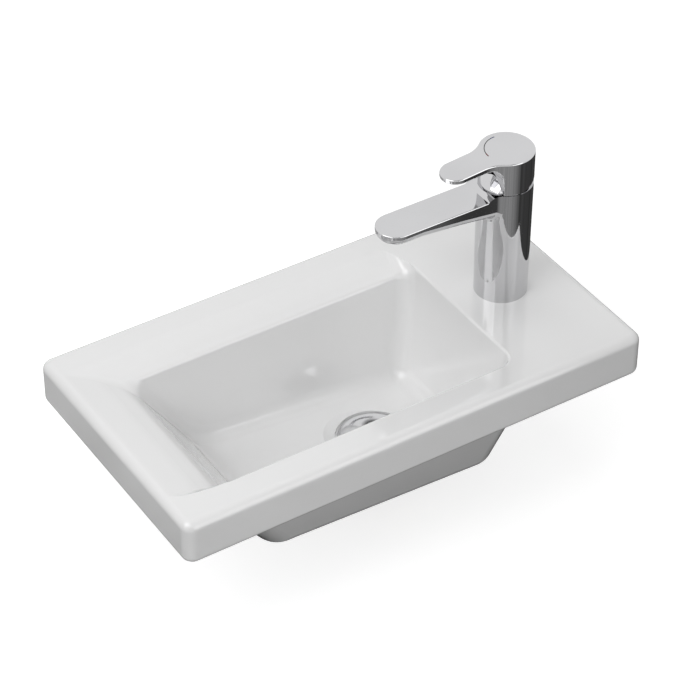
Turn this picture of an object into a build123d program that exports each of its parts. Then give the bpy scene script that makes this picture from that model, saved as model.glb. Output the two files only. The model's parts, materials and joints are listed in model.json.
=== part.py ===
"""Inset basin with a slab rim, a side shelf, a single-lever mixer tap and an open waste.

All sizes are millimetres. X runs left to right, Y from front to back, Z up.
The origin is the middle of the back edge, at the level of the rim's underside.
"""
import math
import os

from build123d import *

os.makedirs("parts", exist_ok=True)

# Basin: the slab rim
basin_width = 450.0
basin_depth = 248.0
rim_height = 42.0
plan_corner_radius = 10.0
rim_top_radius = 8.0
rim_foot_radius = 6.0
skirt_wall = 12.0
deck_wall = 10.0

# Basin: the bowl, as borders left standing and slopes down into it
front_rim = 30.5
shelf_width = 113.0
left_ridge = 9.0
left_slope_run = 44.0
left_slope_drop = 12.0
left_slope_mid_run = 22.0
left_slope_mid_drop = 4.0
back_shelf = 29.0
back_slope_run = 28.0
back_slope_drop = 10.0
back_slope_mid_run = 14.0
back_slope_mid_drop = 3.6
left_wall_lean = 56.0
right_wall_lean = 17.0
back_wall_lean = 14.0
front_wall_lean = 27.5
bowl_depth_left = 93.0
bowl_depth_right = 110.0
bowl_corner_radius = 14.0
left_foot_radius = 40.0
left_crease_radius = 36.0
back_crease_radius = 5.0
slope_bend_radius = 50.0
slope_start_radius = 20.0
lip_radius = 2.5

# Basin: the underside of the bowl
bowl_wall = 10.0
under_left_wall = 16.0
under_right_wall_top = 6.0
under_right_wall_foot = 12.0
under_front_lean = 31.0
under_corner_radius = 24.0
under_floor_radius = 20.0

# Basin: fixing holes in the back skirt
wall_hole_spacing = 280.0
wall_hole_radius = 6.5
wall_hole_height = 18.0

# Waste
waste_from_right = 198.5
waste_from_back = 132.0
waste_rim_radius = 32.0
waste_rim_below_floor = 1.6
waste_rim_thickness = 2.0
waste_dish_radius = 29.5
waste_dish_depth = 9.5
waste_dish_bow = 20.0
waste_throat_radius = 17.5
waste_cup_radius = 30.5
waste_cup_depth = 11.5
waste_tail_radius = 20.95
waste_tail_length = 53.0
waste_hole_clearance = 1.6
waste_cup_clearance = 0.8
waste_lip_gap = 0.5
waste_funnel_width = 26.0
waste_funnel_rise = 0.5
waste_ceramic_below_cup = 8.5
waste_boss_width = 13.5
waste_top_seal_thickness = 2.5
waste_lower_seal_thickness = 3.5
waste_washer_thickness = 1.5
waste_nut_height = 8.0
waste_nut_across_flats = 58.0
waste_relief_width = 1.5
waste_relief_depth = 0.8
waste_fit = 0.05

# Tap: the body
tap_from_right = 65.0
tap_from_back = 127.5
column_foot_radius = 23.6
column_head_radius = 24.3
column_height = 114.0
spout_reach = 128.0
spout_width = 34.5
spout_below_head = 3.0
spout_tip_thickness = 11.0
spout_root_thickness = 19.5
spout_root_length = 30.0
spout_edge_radius = 7.5
spout_flare_radius = 10.0
spout_top_round = 0.8
spout_root_radius = 9.0
tap_hole_radius = 17.5
base_hollow_radius = 16.4
base_hollow_height = 40.0
inlet_radius = 4.46
inlet_depth = 12.0
inlet_offset = 8.0
inlet_back = 2.0
channel_radius = 3.2
riser_offset = 19.2
riser_radius = 2.8
mixing_chamber_drop = 6.0
gasket_inner_radius = 18.4
gasket_width = 3.0
gasket_height = 2.2
gasket_groove_clearance = 0.3

# Tap: aerator
aerator_setback = 17.25
aerator_radius = 9.25
aerator_bore_radius = 7.6
aerator_height = 6.6
aerator_seal_height = 1.2
aerator_clearance = 0.1
aerator_ledge = 1.2
aerator_web = 0.8
aerator_cell = 2.4
aerator_cells = 5

# Tap: mounting under the shelf
stud_radius = 4.0
stud_offset = 11.5
stud_grip = 8.0
stud_below_rim = 16.0
stud_fit = 0.02
stud_chamfer = 0.6
clamp_hole_clearance = 0.4
clamp_radius = 24.0
clamp_slot_half_width = 13.0
clamp_slot_end = 4.0
clamp_seal_thickness = 3.0
clamp_washer_thickness = 2.5
stud_nut_height = 6.5
stud_nut_across_flats = 13.0

# Tap: cartridge
cartridge_radius = 14.0
cartridge_clearance = 0.2
cartridge_bore_depth = 43.0
pivot_drop = 10.0
cartridge_base_height = 4.0
fixed_disc_radius = 9.5
disc_thickness = 3.5
moving_disc_radius = 7.6
carrier_height = 5.0
disc_port_radius = 1.5
disc_port_back = 2.0
disc_port_offset = 3.0
mixing_pocket_radius = 3.5
base_slot_depth = 2.5
cartridge_seal_height = 1.0
seal_ring_width = 0.7
housing_wall = 2.0
housing_top_thickness = 5.0
housing_top_above_pivot = 1.0
rotor_flange_radius = 11.5
rotor_flange_height = 9.7
rotor_flange_gap = 0.3
rotor_neck_radius = 8.8
rotor_neck_rise = 7.0
rotor_running_fit = 0.08
flange_slot_half_length = 6.7
neck_slot_half_length = 5.5
stem_width = 6.0
stem_slot_clearance = 0.35
stem_shank_radius = 2.2
stem_ball_radius = 2.8
stem_ball_below_pivot = 18.0
stem_shank_top_below_pivot = 10.0
carrier_socket_clearance = 0.35
stem_rise = 38.0
pin_radius = 1.5
pin_half_length = 8.0
pin_fit = 0.02
pin_running_fit = 0.06
cartridge_nut_height = 7.0
cartridge_nut_clearance = 0.6
nut_notch_width = 2.4
nut_notch_depth = 2.0
cap_dome_radius = 23.9
cap_inner_height = 6.0
cap_mouth_radius = 11.0
cap_spigot_depth = 1.8
cap_spigot_wall = 1.6

# Tap: lever handle
lift_range = 15.0
turn_range = 45.0
seam_gap = 0.8
hood_radius = 24.4
hood_mouth_radius = 22.4
hood_throat_radius = 17.6
hood_throat_height = 11.0
hood_roof_round = 6.0
hood_height = 32.0
hood_roof_thickness = 14.8
hood_rear_cut = 15.5
hood_slant_start = 8.0
hood_slant = 4.5
hood_bend_radius = 150.0
window_back = 14.6
window_lean = 1.5
window_arch_radius = 9.0
lever_reach = 65.0
lever_half_width = 13.5
lever_blend_radius = 24.0
lever_tip_thickness = 4.5
lever_root_thickness = 5.5
lever_edge_radius = 1.2
socket_clearance = 0.1
socket_end_gap = 0.5
screw_radius = 2.4
screw_length = 9.0
screw_clearance = 0.1
screw_height_below_top = 9.0
screw_tip_gap = 0.1
screw_socket_width = 2.5
screw_socket_depth = 3.0
plug_radius = 3.2
plug_length = 2.0
plug_inset = 0.5
index_radius = 18.8
index_groove_width = 0.6
index_mark_width = 1.1
index_groove_depth = 0.4
index_middle_angle = 135.0
index_arc_angle = 94.0
index_mark_angle = 14.0

# Levels and places worked out from the sizes above
rim_top = rim_height
left_side = -basin_width / 2
right_side = basin_width / 2
slope_left = left_side + left_ridge
crease_left = slope_left + left_slope_run
bowl_right = right_side - shelf_width
bowl_front = -basin_depth + front_rim
slope_back = -back_shelf
crease_back = slope_back - back_slope_run
floor_left = rim_top - bowl_depth_left
floor_right = rim_top - bowl_depth_right
foot_left = crease_left + left_wall_lean
foot_right = bowl_right - right_wall_lean
waste_x = right_side - waste_from_right
waste_y = -waste_from_back
floor_slope = (floor_right - floor_left) / (foot_right - foot_left)
floor_at_waste = floor_left + floor_slope * (waste_x - foot_left)
tap_x = right_side - tap_from_right
tap_y = -tap_from_back
column_top = rim_top + column_height
pivot_level = column_top - pivot_drop
above_rim = rim_top + 18.0
below_floor = floor_right - 30.0

tap_section = Plane(origin=(tap_x, tap_y, 0), x_dir=(1, 0, 0), z_dir=(0, -1, 0))
tap_axis = Axis((tap_x, tap_y, 0), (0, 0, 1))
waste_section = Plane(origin=(waste_x, waste_y, 0), x_dir=(1, 0, 0), z_dir=(0, -1, 0))
waste_axis = Axis((waste_x, waste_y, 0), (0, 0, 1))


def tap_level(height):
    """A level plane centred on the tap's upright axis."""
    return Plane(origin=(tap_x, tap_y, height))


def waste_level(height):
    """A level plane centred on the waste."""
    return Plane(origin=(waste_x, waste_y, height))


def along(start, end, level):
    """Where the straight line from start to end, each (place, level), passes a level."""
    share = (level - start[1]) / (end[1] - start[1])
    return start[0] + share * (end[0] - start[0])


def within(edges, low, high):
    """The edges that lie between two corners of a box, ends left out."""
    found = []
    for edge in edges:
        points = [edge @ share for share in (0.02, 0.5, 0.98)]
        if all(a <= v <= b for p in points for a, v, b in zip(low, tuple(p), high)):
            found.append(edge)
    return found


# The bowl's walls as lines through (place, level) points, front and back and right
right_top = (bowl_right, rim_top)
right_foot = (foot_right, floor_right)
front_top = (bowl_front, rim_top)
front_foot = (bowl_front + front_wall_lean, floor_right)
back_top = (crease_back, rim_top - back_slope_drop)
back_foot = (crease_back - back_wall_lean, floor_right)
left_top = (crease_left, rim_top - left_slope_drop)
left_foot = (foot_left, floor_left)
outside_left = left_side - 80.0
outside_back = 90.0

with BuildPart() as hollow:
    with BuildSketch(Plane.XZ) as across:
        with BuildLine():
            Polyline(
                (outside_left, above_rim),
                (outside_left, rim_top),
                (slope_left, rim_top),
                (slope_left + left_slope_mid_run, rim_top - left_slope_mid_drop),
                left_top,
                left_foot,
                right_foot,
                (along(right_foot, right_top, above_rim), above_rim),
                close=True,
            )
        make_face()
        fillet(across.vertices().sort_by_distance((*left_top, 0))[0], left_crease_radius)
        fillet(across.vertices().sort_by_distance((*left_foot, 0))[0], left_foot_radius)
        bend = (slope_left + left_slope_mid_run, rim_top - left_slope_mid_drop, 0)
        fillet(across.vertices().sort_by_distance(bend)[0], slope_bend_radius)
    extrude(amount=basin_depth + outside_back, both=True)
    with BuildSketch(Plane.YZ.offset(outside_left)) as along_depth:
        with BuildLine():
            Polyline(
                (outside_back, above_rim),
                (outside_back, rim_top),
                (slope_back, rim_top),
                (slope_back - back_slope_mid_run, rim_top - back_slope_mid_drop),
                back_top,
                (along(back_top, back_foot, below_floor), below_floor),
                (along(front_top, front_foot, below_floor), below_floor),
                (along(front_top, front_foot, above_rim), above_rim),
                close=True,
            )
        make_face()
        fillet(along_depth.vertices().sort_by_distance((*back_top, 0))[0], back_crease_radius)
        bend = (slope_back - back_slope_mid_run, rim_top - back_slope_mid_drop, 0)
        fillet(along_depth.vertices().sort_by_distance(bend)[0], slope_bend_radius)
    extrude(amount=basin_width + 2 * outside_back, mode=Mode.INTERSECT)

    # The four inner corners, each from the rim down to the floor, together with the floor's edge
    front_edge = bowl_front + front_wall_lean + 1
    back_edge = crease_back - back_wall_lean - 1
    far = 1.5 * basin_width
    corner_boxes = (
        ((foot_right - 1, -far, floor_right), (far, front_edge, above_rim - 1)),
        ((foot_right - 1, back_edge, floor_right), (far, far, rim_top + 0.1)),
        ((-far, -far, floor_right), (foot_left + 1, front_edge, rim_top + 0.1)),
        ((slope_left - 1, back_edge, floor_right), (foot_left + 1, slope_back + 1, rim_top + 0.1)),
    )
    corners = [edge for low, high in corner_boxes for edge in within(hollow.edges(), low, high)]
    floor_edges = within(hollow.edges(), (-far, -far, floor_right - 1), (far, far, floor_left + 8))
    fillet([*corners, *(edge for edge in floor_edges if edge not in corners)], bowl_corner_radius)

    far_side = (far, slope_back + 0.5, rim_top + 0.01)
    starts = [
        edge
        for edge in within(hollow.edges(), (slope_left - 0.5, -far, rim_top - 0.01), far_side)
        if (edge @ 0.5).X < slope_left + 0.5 or (edge @ 0.5).Y > slope_back - 0.5
    ]
    fillet(starts, slope_start_radius)

# The rounding of the bowl's edge, taken where its upright walls meet the rim
with BuildPart() as straight_bowl:
    with BuildSketch(Plane.XZ):
        with BuildLine():
            Polyline(
                (along(left_top, left_foot, above_rim), above_rim),
                left_foot,
                right_foot,
                (along(right_foot, right_top, above_rim), above_rim),
                close=True,
            )
        make_face()
    extrude(amount=basin_depth + outside_back)
    with BuildSketch(Plane.YZ.offset(outside_left)):
        with BuildLine():
            Polyline(
                (along(back_foot, back_top, above_rim), above_rim),
                (along(back_top, back_foot, below_floor), below_floor),
                (along(front_top, front_foot, below_floor), below_floor),
                (along(front_top, front_foot, above_rim), above_rim),
                close=True,
            )
        make_face()
    extrude(amount=basin_width + 2 * outside_back, mode=Mode.INTERSECT)
    upright = [edge for edge in straight_bowl.edges() if abs((edge @ 0).Z - (edge @ 1).Z) > rim_height]
    fillet(upright, bowl_corner_radius)

plate_width = basin_width - 2 * left_ridge
plate_depth = basin_depth - 2 * left_ridge
with BuildPart() as rounded_plate:
    with BuildSketch(Plane.XY.offset(rim_top - 4 * lip_radius)):
        with Locations((0, -basin_depth / 2)):
            Rectangle(plate_width, plate_depth)
    extrude(amount=4 * lip_radius)
    add(straight_bowl.part, mode=Mode.SUBTRACT)
    lip_low = (-plate_width / 2 + 1, -basin_depth + left_ridge + 1, rim_top - 0.1)
    lip_high = (plate_width / 2 - 1, -left_ridge - 1, rim_top + 0.1)
    fillet(within(rounded_plate.edges(), lip_low, lip_high), lip_radius)

with BuildPart() as lip_space:
    with BuildSketch(Plane.XY.offset(rim_top - 1.5 * lip_radius)):
        with Locations((0, -basin_depth / 2)):
            Rectangle(plate_width - 2, plate_depth - 2)
    extrude(amount=1.5 * lip_radius)
    add(rounded_plate.part, mode=Mode.SUBTRACT)

under_left_foot = floor_left - bowl_wall
under_right_top = (bowl_right + under_right_wall_top, rim_top)
under_right_foot = (foot_right + under_right_wall_foot, floor_right - bowl_wall)
with BuildPart() as under_bowl:
    with BuildSketch(Plane.XZ):
        with BuildLine():
            Polyline(
                (along(left_top, left_foot, above_rim) - under_left_wall, above_rim),
                (along(left_top, left_foot, under_left_foot) - under_left_wall, under_left_foot),
                under_right_foot,
                (along(under_right_foot, under_right_top, above_rim), above_rim),
                close=True,
            )
        make_face()
    extrude(amount=basin_depth + outside_back)
    under_front_top = (-basin_depth + skirt_wall, 0)
    under_front_foot = (under_front_top[0] + under_front_lean, floor_right - bowl_wall)
    with BuildSketch(Plane.YZ.offset(outside_left)):
        with BuildLine():
            Polyline(
                (along(back_top, back_foot, above_rim) + bowl_wall, above_rim),
                (along(back_top, back_foot, below_floor) + bowl_wall, below_floor),
                (along(under_front_top, under_front_foot, below_floor), below_floor),
                (along(under_front_top, under_front_foot, above_rim), above_rim),
                close=True,
            )
        make_face()
    extrude(amount=basin_width + 2 * outside_back, mode=Mode.INTERSECT)
    upright = [edge for edge in under_bowl.edges() if abs((edge @ 0).Z - (edge @ 1).Z) > rim_height]
    fillet(upright, under_corner_radius)
    foot = within(under_bowl.edges(), (-far, -far, below_floor), (far, far, floor_left))
    fillet(foot, under_floor_radius)

# The part of that block that stands out below the rim
with BuildPart() as under_body:
    add(under_bowl.part)
    split(bisect_by=Plane.XY.offset(rim_foot_radius / 2), keep=Keep.BOTTOM)

# The space left open under the rim, all round the bowl
with BuildPart() as underside:
    with BuildSketch(Plane.XY.offset(-1)) as plan:
        with Locations((0, -basin_depth / 2)):
            Rectangle(basin_width - 2 * skirt_wall, basin_depth - 2 * skirt_wall)
        fillet(plan.vertices(), plan_corner_radius)
    extrude(amount=rim_height - deck_wall + 1)
    add(under_bowl.part, mode=Mode.SUBTRACT)
    with Locations((0, 0, -deck_wall)):
        add(hollow.part, mode=Mode.SUBTRACT)

# Levels of the waste, from its rim down
waste_top = floor_at_waste - waste_rim_below_floor
waste_lip = waste_top - waste_rim_thickness
cup_bottom = waste_top - waste_cup_depth
recess_floor = cup_bottom - waste_top_seal_thickness
boss_bottom = recess_floor - waste_ceramic_below_cup
lower_seal_level = boss_bottom - waste_lower_seal_thickness
washer_level = lower_seal_level - waste_washer_thickness
nut_bottom = washer_level - waste_nut_height
waste_hole_radius = waste_tail_radius + waste_hole_clearance
seat_radius = waste_rim_radius + waste_cup_clearance

with BuildPart() as basin:
    with BuildSketch() as plan:
        with Locations((0, -basin_depth / 2)):
            Rectangle(basin_width, basin_depth)
        fillet(plan.vertices(), plan_corner_radius)
    extrude(amount=rim_height)
    fillet(basin.faces().sort_by(Axis.Z)[-1].edges(), rim_top_radius)
    visible_foot = within(basin.edges(), (-far, -far, -0.1), (far, -plan_corner_radius / 4, 0.1))
    fillet(visible_foot, rim_foot_radius)
    add(under_body.part)
    with BuildSketch(waste_level(boss_bottom)):
        Circle(waste_hole_radius + waste_boss_width)
    extrude(until=Until.NEXT)
    add(hollow.part, mode=Mode.SUBTRACT)
    add(underside.part, mode=Mode.SUBTRACT)

    # Seat, recess and hole of the waste
    with BuildSketch(waste_section):
        with BuildLine():
            Polyline(
                (0, boss_bottom - 1),
                (waste_hole_radius, boss_bottom - 1),
                (waste_hole_radius, recess_floor),
                (waste_cup_radius + waste_cup_clearance, recess_floor),
                (waste_cup_radius + waste_cup_clearance, waste_lip - waste_lip_gap),
                (seat_radius + 1, waste_lip - waste_lip_gap),
                (seat_radius + 1, waste_top - waste_lip_gap),
                (seat_radius + 1 + waste_funnel_width, waste_top + waste_funnel_width * waste_funnel_rise),
                (0, waste_top + waste_funnel_width * waste_funnel_rise),
                close=True,
            )
        make_face()
    revolve(axis=waste_axis, mode=Mode.SUBTRACT)

    # Tap hole through the shelf, fixing holes through the back skirt
    with BuildSketch(tap_level(rim_top - deck_wall - 1)):
        Circle(tap_hole_radius)
    extrude(amount=deck_wall + 2, mode=Mode.SUBTRACT)
    with BuildSketch(Plane.XZ.offset(-1)):
        with GridLocations(wall_hole_spacing, 1, 2, 1):
            with Locations((0, wall_hole_height)):
                Circle(wall_hole_radius)
    extrude(amount=skirt_wall + 2, mode=Mode.SUBTRACT)
    add(lip_space.part, mode=Mode.SUBTRACT)
basin.part.label = "basin"
export_step(basin.part, "parts/basin.step")

# Waste: a dished flange with a threaded tail, clamped through the floor by a back nut.
# A relief below the nut parts its thread from the trap's.
tail_end = waste_top - waste_tail_length
relief_radius = waste_tail_radius - waste_relief_depth
with BuildPart() as waste_flange:
    with BuildSketch(waste_section) as profile:
        with BuildLine():
            Polyline(
                (waste_dish_radius, waste_top),
                (waste_rim_radius, waste_top),
                (waste_rim_radius, waste_lip),
                (waste_cup_radius, waste_lip),
                (waste_cup_radius, cup_bottom),
                (waste_tail_radius, cup_bottom),
                (waste_tail_radius, nut_bottom),
                (relief_radius, nut_bottom),
                (relief_radius, nut_bottom - waste_relief_width),
                (waste_tail_radius, nut_bottom - waste_relief_width),
                (waste_tail_radius, tail_end),
                (waste_throat_radius, tail_end),
                (waste_throat_radius, waste_top - waste_dish_depth),
            )
            RadiusArc(
                (waste_throat_radius, waste_top - waste_dish_depth),
                (waste_dish_radius, waste_top),
                waste_dish_bow,
            )
        make_face()
        rim_edge = (waste_rim_radius, waste_top, 0)
        fillet(profile.vertices().sort_by_distance(rim_edge)[0], waste_rim_thickness / 2)
    revolve(axis=waste_axis)
waste_flange.part.label = "waste_flange"
export_step(waste_flange.part, "parts/waste_flange.step")

with BuildPart() as waste_top_seal:
    with BuildSketch(waste_level(recess_floor)):
        Circle(waste_cup_radius)
        Circle(waste_tail_radius + waste_fit, mode=Mode.SUBTRACT)
    extrude(amount=waste_top_seal_thickness)
waste_top_seal.part.label = "waste_top_seal"
export_step(waste_top_seal.part, "parts/waste_top_seal.step")

with BuildPart() as waste_lower_seal:
    with BuildSketch(waste_level(lower_seal_level)):
        Circle(waste_nut_across_flats / 2 + 1)
        Circle(waste_tail_radius + waste_fit, mode=Mode.SUBTRACT)
    extrude(amount=waste_lower_seal_thickness)
waste_lower_seal.part.label = "waste_lower_seal"
export_step(waste_lower_seal.part, "parts/waste_lower_seal.step")

with BuildPart() as waste_washer:
    with BuildSketch(waste_level(washer_level)):
        Circle(waste_nut_across_flats / 2 + 1)
        Circle(waste_tail_radius + waste_fit, mode=Mode.SUBTRACT)
    extrude(amount=waste_washer_thickness)
waste_washer.part.label = "waste_washer"
export_step(waste_washer.part, "parts/waste_washer.step")

with BuildPart() as waste_backnut:
    with BuildSketch(waste_level(nut_bottom)):
        RegularPolygon(waste_nut_across_flats / 2, 6, major_radius=False)
        Circle(waste_tail_radius + waste_fit, mode=Mode.SUBTRACT)
    extrude(amount=waste_nut_height)
    chamfer(waste_backnut.edges().filter_by(GeomType.CIRCLE), 0.4)
waste_backnut.part.label = "waste_backnut"
export_step(waste_backnut.part, "parts/waste_backnut.step")

# Tap body: levels
hollow_top = rim_top + base_hollow_height
bore_floor = column_top - cartridge_bore_depth
bore_radius = cartridge_radius + cartridge_clearance
spout_top = column_top - spout_below_head
spout_tip_bottom = spout_top - spout_tip_thickness
spout_root_bottom = spout_top - spout_root_thickness
spout_mid_bottom = (spout_root_bottom + spout_tip_bottom) / 2
spout_root_rise = (spout_mid_bottom - spout_root_bottom) / spout_root_length
spout_axis_bottom = spout_root_bottom - spout_root_rise * column_head_radius
spout_channel_level = spout_top - spout_tip_thickness / 2
aerator_x = tap_x - spout_reach + aerator_setback
aerator_plane = Plane(origin=(aerator_x, tap_y, spout_tip_bottom))
aerator_seat = spout_tip_bottom + aerator_clearance + aerator_height
flare_start = column_head_radius - spout_below_head
flare_run = math.sqrt(2 * spout_flare_radius * spout_below_head - spout_below_head**2)
flare_end = -flare_start - flare_run
inlet_places = ((-inlet_back, inlet_offset), (-inlet_back, -inlet_offset))

with BuildPart() as tap_body:
    with BuildSketch(tap_section):
        with BuildLine():
            Polyline(
                (0, rim_top),
                (column_foot_radius, rim_top),
                (column_head_radius, column_top),
                (0, column_top),
                close=True,
            )
        make_face()
    revolve(axis=tap_axis)

    # Spout: a flat-topped arm with a round tip, deeper where it leaves the column
    with BuildPart(mode=Mode.PRIVATE) as spout:
        with BuildSketch(tap_section):
            with BuildLine():
                Polyline(
                    (flare_end, spout_top),
                    (-spout_reach, spout_top),
                    (-spout_reach, spout_tip_bottom),
                    (-spout_reach + 2 * aerator_setback, spout_tip_bottom),
                    (-column_head_radius - spout_root_length, spout_mid_bottom),
                    (0, spout_axis_bottom),
                    (0, column_top),
                    (-flare_start, column_top),
                )
                RadiusArc((flare_end, spout_top), (-flare_start, column_top), spout_flare_radius)
            make_face()
        extrude(amount=spout_width / 2, both=True)
        with BuildSketch(tap_level(bore_floor)):
            with Locations((-(spout_reach - spout_width / 2) / 2, 0)):
                Rectangle(spout_reach - spout_width / 2, spout_width)
            with Locations((-spout_reach + spout_width / 2, 0)):
                Circle(spout_width / 2)
        extrude(amount=cartridge_bore_depth, mode=Mode.INTERSECT)
        across_lines = spout.edges().filter_by(Axis.Y)
        outline = [edge for edge in spout.edges() if edge not in across_lines]
        spout_limit = (tap_x - column_foot_radius / 2, far, spout_top - 2)
        underside_edges = [
            edge
            for edge in within(outline, (-far, -far, rim_top), spout_limit)
            if abs((edge @ 0).Z - (edge @ 1).Z) < spout_root_thickness / 2
        ]
        fillet(underside_edges, spout_edge_radius)
        top_edges = within(spout.edges(), (-far, -far, spout_top - 0.01), (tap_x, far, spout_top + 0.01))
        top_edges = [edge for edge in top_edges if edge.length > spout_width * 1.1]
        fillet(top_edges, spout_top_round)
    add(spout.part)
    joins = [
        edge
        for edge in tap_body.edges()
        if all(
            abs(math.hypot((edge @ t).X - tap_x, (edge @ t).Y - tap_y) - column_head_radius) < 0.6
            and spout_axis_bottom - 0.5 < (edge @ t).Z < spout_top + 0.5
            for t in (0.1, 0.5, 0.9)
        )
    ]
    fillet(joins, spout_root_radius)

    # Cartridge bore from the top, hollow base with its gasket groove from below
    with BuildSketch(tap_level(bore_floor)):
        Circle(bore_radius)
    extrude(amount=cartridge_bore_depth, mode=Mode.SUBTRACT)
    with BuildSketch(tap_level(rim_top)):
        Circle(base_hollow_radius)
    extrude(amount=base_hollow_height, mode=Mode.SUBTRACT)
    with BuildSketch(tap_level(rim_top)):
        Circle(gasket_inner_radius + gasket_width + gasket_groove_clearance)
        Circle(gasket_inner_radius - gasket_groove_clearance, mode=Mode.SUBTRACT)
    extrude(amount=gasket_height, mode=Mode.SUBTRACT)

    # Threaded inlets, the channels above them, and the stud's hole
    with BuildSketch(tap_level(hollow_top)):
        with Locations(*inlet_places):
            Circle(inlet_radius)
    extrude(amount=inlet_depth, mode=Mode.SUBTRACT)
    with BuildSketch(tap_level(hollow_top)):
        with Locations(*inlet_places):
            Circle(channel_radius)
    extrude(amount=bore_floor - hollow_top, mode=Mode.SUBTRACT)
    with BuildSketch(tap_level(hollow_top)):
        with Locations((stud_offset, 0)):
            Circle(stud_radius + stud_fit)
    extrude(amount=stud_grip, mode=Mode.SUBTRACT)

    # Mixed water: down from the cartridge, across, up beside the bore and along the spout
    mixing_level = bore_floor - mixing_chamber_drop
    with BuildSketch(tap_level(mixing_level)):
        Circle(channel_radius)
    extrude(amount=mixing_chamber_drop, mode=Mode.SUBTRACT)
    riser_plane = Plane(origin=(tap_x - riser_offset, tap_y, mixing_level), z_dir=(1, 0, 0))
    with BuildSketch(riser_plane):
        Circle(riser_radius)
    extrude(amount=riser_offset, mode=Mode.SUBTRACT)
    with BuildSketch(tap_level(mixing_level - riser_radius)):
        with Locations((-riser_offset, 0)):
            Circle(riser_radius)
    extrude(amount=spout_channel_level - mixing_level + riser_radius, mode=Mode.SUBTRACT)
    with BuildSketch(Plane(origin=(aerator_x, tap_y, spout_channel_level), z_dir=(1, 0, 0))):
        Circle(riser_radius)
    extrude(amount=tap_x - riser_offset - aerator_x, mode=Mode.SUBTRACT)

    # Aerator bore in the spout's tip
    with BuildSketch(aerator_plane):
        Circle(aerator_radius + aerator_clearance)
    extrude(amount=aerator_seat + aerator_seal_height - spout_tip_bottom, mode=Mode.SUBTRACT)
tap_body.part.label = "tap_body"
export_step(tap_body.part, "parts/tap_body.step")

with BuildPart() as tap_base_gasket:
    with BuildSketch(tap_level(rim_top)):
        Circle(gasket_inner_radius + gasket_width)
        Circle(gasket_inner_radius, mode=Mode.SUBTRACT)
    extrude(amount=gasket_height)
tap_base_gasket.part.label = "tap_base_gasket"
export_step(tap_base_gasket.part, "parts/tap_base_gasket.step")

# Mounting under the shelf: stud, horseshoe seal and washer, nut
shelf_underside = rim_top - deck_wall
with BuildPart() as mounting_stud:
    with BuildSketch(tap_level(-stud_below_rim)):
        with Locations((stud_offset, 0)):
            Circle(stud_radius)
    extrude(amount=hollow_top + stud_grip + stud_below_rim)
    chamfer(mounting_stud.edges().filter_by(GeomType.CIRCLE), stud_chamfer)
mounting_stud.part.label = "mounting_stud"
export_step(mounting_stud.part, "parts/mounting_stud.step")

clamp_seal_level = shelf_underside - clamp_seal_thickness
clamp_washer_level = clamp_seal_level - clamp_washer_thickness
with BuildPart() as horseshoe_seal:
    with BuildSketch(tap_level(clamp_seal_level)):
        Circle(clamp_radius)
        with Locations((clamp_slot_end - clamp_radius, 0)):
            Rectangle(2 * clamp_radius, 2 * clamp_slot_half_width, mode=Mode.SUBTRACT)
        with Locations((stud_offset, 0)):
            Circle(stud_radius + clamp_hole_clearance, mode=Mode.SUBTRACT)
    extrude(amount=clamp_seal_thickness)
horseshoe_seal.part.label = "horseshoe_seal"
export_step(horseshoe_seal.part, "parts/horseshoe_seal.step")

with BuildPart() as horseshoe_washer:
    with BuildSketch(tap_level(clamp_washer_level)):
        Circle(clamp_radius)
        with Locations((clamp_slot_end - clamp_radius, 0)):
            Rectangle(2 * clamp_radius, 2 * clamp_slot_half_width, mode=Mode.SUBTRACT)
        with Locations((stud_offset, 0)):
            Circle(stud_radius + clamp_hole_clearance, mode=Mode.SUBTRACT)
    extrude(amount=clamp_washer_thickness)
horseshoe_washer.part.label = "horseshoe_washer"
export_step(horseshoe_washer.part, "parts/horseshoe_washer.step")

with BuildPart() as stud_nut:
    with BuildSketch(tap_level(clamp_washer_level - stud_nut_height)):
        with Locations((stud_offset, 0)):
            RegularPolygon(stud_nut_across_flats / 2, 6, major_radius=False)
            Circle(stud_radius + stud_fit, mode=Mode.SUBTRACT)
    extrude(amount=stud_nut_height)
stud_nut.part.label = "stud_nut"
export_step(stud_nut.part, "parts/stud_nut.step")

# Aerator: a threaded sleeve, the insert that it holds, and its seal
sleeve_bottom = spout_tip_bottom + aerator_clearance
with BuildPart() as aerator_housing:
    with BuildSketch(Plane(origin=(aerator_x, tap_y, sleeve_bottom))):
        Circle(aerator_radius)
        Circle(aerator_bore_radius - aerator_ledge, mode=Mode.SUBTRACT)
    extrude(amount=aerator_height)
    with BuildSketch(Plane(origin=(aerator_x, tap_y, sleeve_bottom + aerator_ledge))):
        Circle(aerator_bore_radius)
    extrude(amount=aerator_height - aerator_ledge, mode=Mode.SUBTRACT)
aerator_housing.part.label = "aerator_housing"
export_step(aerator_housing.part, "parts/aerator_housing.step")

with BuildPart() as aerator_insert:
    with BuildSketch(Plane(origin=(aerator_x, tap_y, sleeve_bottom + aerator_ledge))):
        Circle(aerator_bore_radius - aerator_clearance)
        with GridLocations(aerator_cell, aerator_cell, aerator_cells, aerator_cells):
            Rectangle(aerator_cell - aerator_web, aerator_cell - aerator_web, mode=Mode.SUBTRACT)
    extrude(amount=aerator_height - aerator_ledge)
aerator_insert.part.label = "aerator_insert"
export_step(aerator_insert.part, "parts/aerator_insert.step")

with BuildPart() as aerator_seal:
    with BuildSketch(Plane(origin=(aerator_x, tap_y, aerator_seat))):
        Circle(aerator_radius)
        Circle(aerator_bore_radius - aerator_ledge, mode=Mode.SUBTRACT)
    extrude(amount=aerator_seal_height)
aerator_seal.part.label = "aerator_seal"
export_step(aerator_seal.part, "parts/aerator_seal.step")

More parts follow.
